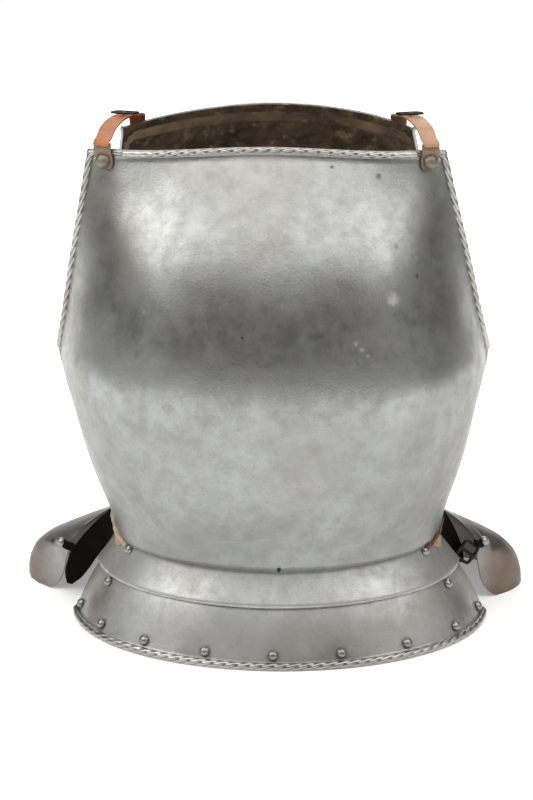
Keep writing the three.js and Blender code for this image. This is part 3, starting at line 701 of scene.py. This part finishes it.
# the leather's creased edge that shows below the waist at each side
welt = {
    "reach": (-94, -69),
    "count": 40,
    "radius": 2.8 * mm,
    "rightRadius": 2.1 * mm,
    "out": 2.2 * mm,
    "down": 1.5 * mm,
    "wave": 1.0 * mm,
    "waves": 4.5,
    "ends": 16 * mm,
}
creased = {**rope, "groove": 0.35 * mm, "spacing": 19 * mm}
for sideName, side in (("Left", 1), ("Right", -1)):
    first, last = welt["reach"]
    path = roundBorder("breastplate", bodyCentre, spread(side * first, side * last, welt["count"]), -1)
    for k, point in enumerate(path):
        outward = Vector((point.x - bodyCentre.x, point.y, 0)).normalized()
        wave = welt["wave"] * math.sin(welt["waves"] * k / len(path) * math.pi)
        path[k] = point + outward * (welt["out"] + 0.4 * wave) + Vector((0, 0, wave - welt["down"]))
    leather = bandLeather if side > 0 else bandDarkLeather
    radius = welt["radius"] if side > 0 else welt["rightRadius"]
    made = (leather, "tan_leather")
    ropePiece("waistWelt" + sideName, path, 1, look=creased, radius=radius, ends=welt["ends"], made=made)
print("borders made")


def swell(piece, times):
    # larger about its own middle, the same in every direction
    low = Vector([min(v.co[k] for v in piece.data.vertices) for k in range(3)])
    high = Vector([max(v.co[k] for v in piece.data.vertices) for k in range(3)])
    centre = 0.5 * (low + high)
    for vertex in piece.data.vertices:
        vertex.co = centre + (vertex.co - centre) * times


rivetTimes = {"worn": 1.75, "plain": 1.4}
leatherCrease = {"strap": 0.75, "tab": 0.75, "band": 1.0, "side": 0.8}
for node in sorted(nodes):
    label = "".join(word.capitalize() if k else word for k, word in enumerate(node.split("_")))
    if "rivet" in node:
        material, slotName = (blackIron, "iron") if node == "waist_rivet" else (rivetSteel, "steel")
        worn = node.startswith("shoulder")
        # these heads are drawn larger than their solids
        piece = smoothCopy(node, label + "Head", slotName, wornRivet if worn else material)
        swell(piece, rivetTimes["worn" if worn else "plain"])
    elif "buckle" in node:
        smoothCopy(node, label + "Frame", "iron", blackIron, levels=2, crease=0.35, sharp=35)
    elif node.startswith("shoulder_strap"):
        leather = orangeLeather if node.endswith("left") else strapRightLeather
        smoothCopy(node, label + "Leather", "strap_leather", leather, crease=leatherCrease["strap"])
    elif node.startswith("shoulder_tab"):
        smoothCopy(node, label + "Leather", "tan_leather", tabLeather, crease=leatherCrease["tab"])
    elif node.startswith("waist_band"):
        crease = leatherCrease["band"]
        smoothCopy(node, label + "Leather", "tan_leather", bandLeather, crease=crease, sharp=15)
    elif node.startswith(("side_strap", "hasp")):
        # near-black painted shade stands for the shaded faces of these parts
        smoothCopy(node, label + "Leather", "dark_leather", darkLeather, crease=leatherCrease["side"])
print("small pieces made")


stageLook = {
    "size": 4.8,
    "floor": (0.93, 0.93, 0.93),
    "rough": 0.75,
    "glow": 0.26,
    "fadeFrom": 0.55,
    "fadeTo": 1.5,
    "farGlow": 1.2,
    "world": 0.10,
    "worldTint": (1.0, 0.93, 0.84),
}


def makeStage(look=stageLook):
    deselectAll()
    bpy.ops.mesh.primitive_plane_add(size=look["size"], location=(0, 0, 0))
    floor = bpy.context.object
    floor.name = "floor"
    bpy.ops.object.transform_apply(location=True, rotation=True, scale=True)
    material, tree, shader = newMaterial("paleFloor")
    shader.inputs["Base Color"].default_value = (*look["floor"], 1)
    shader.inputs["Roughness"].default_value = look["rough"]
    shader.inputs["Emission Color"].default_value = (1, 1, 1, 1)
    coord = tree.nodes.new("ShaderNodeTexCoord")
    far = tree.nodes.new("ShaderNodeVectorMath")
    far.operation = "LENGTH"
    tree.links.new(coord.outputs["Object"], far.inputs[0])
    fading = tree.nodes.new("ShaderNodeMapRange")
    fading.interpolation_type = "SMOOTHSTEP"
    tree.links.new(far.outputs["Value"], fading.inputs[0])
    fading.inputs[1].default_value = look["fadeFrom"]
    fading.inputs[2].default_value = look["fadeTo"]
    fading.inputs[3].default_value = look["glow"]
    fading.inputs[4].default_value = look["farGlow"]
    tree.links.new(fading.outputs[0], shader.inputs["Emission Strength"])
    floor.data.materials.append(material)
    world = bpy.data.worlds.new("studio")
    bpy.context.scene.world = world
    world.use_nodes = True
    tree = world.node_tree
    tree.nodes.clear()
    out = tree.nodes.new("ShaderNodeOutputWorld")
    seen = tree.nodes.new("ShaderNodeBackground")
    lit = tree.nodes.new("ShaderNodeBackground")
    mix = tree.nodes.new("ShaderNodeMixShader")
    path = tree.nodes.new("ShaderNodeLightPath")
    seen.inputs[0].default_value = (1, 1, 1, 1)
    lit.inputs[0].default_value = (*look["worldTint"], 1)
    lit.inputs[1].default_value = look["world"]
    tree.links.new(path.outputs["Is Camera Ray"], mix.inputs[0])
    tree.links.new(lit.outputs[0], mix.inputs[1])
    tree.links.new(seen.outputs[0], mix.inputs[2])
    tree.links.new(mix.outputs[0], out.inputs[0])


def softLight(name, place, aim, width, height, power):
    light = bpy.data.lights.new(name, "AREA")
    light.shape = "RECTANGLE"
    light.size = width
    light.size_y = height
    light.energy = power
    lamp = bpy.data.objects.new(name, light)
    bpy.context.scene.collection.objects.link(lamp)
    lamp.location = place
    lamp.rotation_euler = (Vector(aim) - Vector(place)).to_track_quat("-Z", "Y").to_euler()
    return lamp


# each light: place, what it faces, width, height and watts
middle = (0, 0, 0.25)
lights = {
    "topLight": ((-0.15, -0.95, 2.7), (-0.15, -0.95, 0.0), 4.0, 3.2, 92.0),
    "leftLight": ((-2.3, -1.0, 2.1), middle, 1.8, 1.6, 34.0),
    "rightLight": ((2.3, -1.0, 2.1), middle, 1.8, 1.6, 23.8),
    "backLight": ((0.0, 2.4, 1.9), middle, 2.6, 1.4, 30.0),
}
makeStage()
for name, settings in lights.items():
    softLight(name, *settings)
bpy.context.scene.view_settings.view_transform = "Standard"
print("stage and lights made")

cameraSet = {
    "azimuth": 1.0,
    "elevation": 18.0,
    "distance": 2.4,
    "target": (0.00307, 0.00552, 0.215),
    "lens": 114.26,
    "shift": (-0.0119, -0.0100),
}


def makeCamera(look=cameraSet):
    azimuth, elevation = math.radians(look["azimuth"]), math.radians(look["elevation"])
    away = Vector((
        math.sin(azimuth) * math.cos(elevation),
        -math.cos(azimuth) * math.cos(elevation),
        math.sin(elevation),
    ))
    data = bpy.data.cameras.new("frontCamera")
    data.lens = look["lens"]
    data.sensor_width = 36
    data.shift_x, data.shift_y = look["shift"]
    camera = bpy.data.objects.new("frontCamera", data)
    bpy.context.scene.collection.objects.link(camera)
    camera.location = Vector(look["target"]) + away * look["distance"]
    camera.rotation_euler = (-away).to_track_quat("-Z", "Y").to_euler()
    bpy.context.scene.camera = camera


makeCamera()
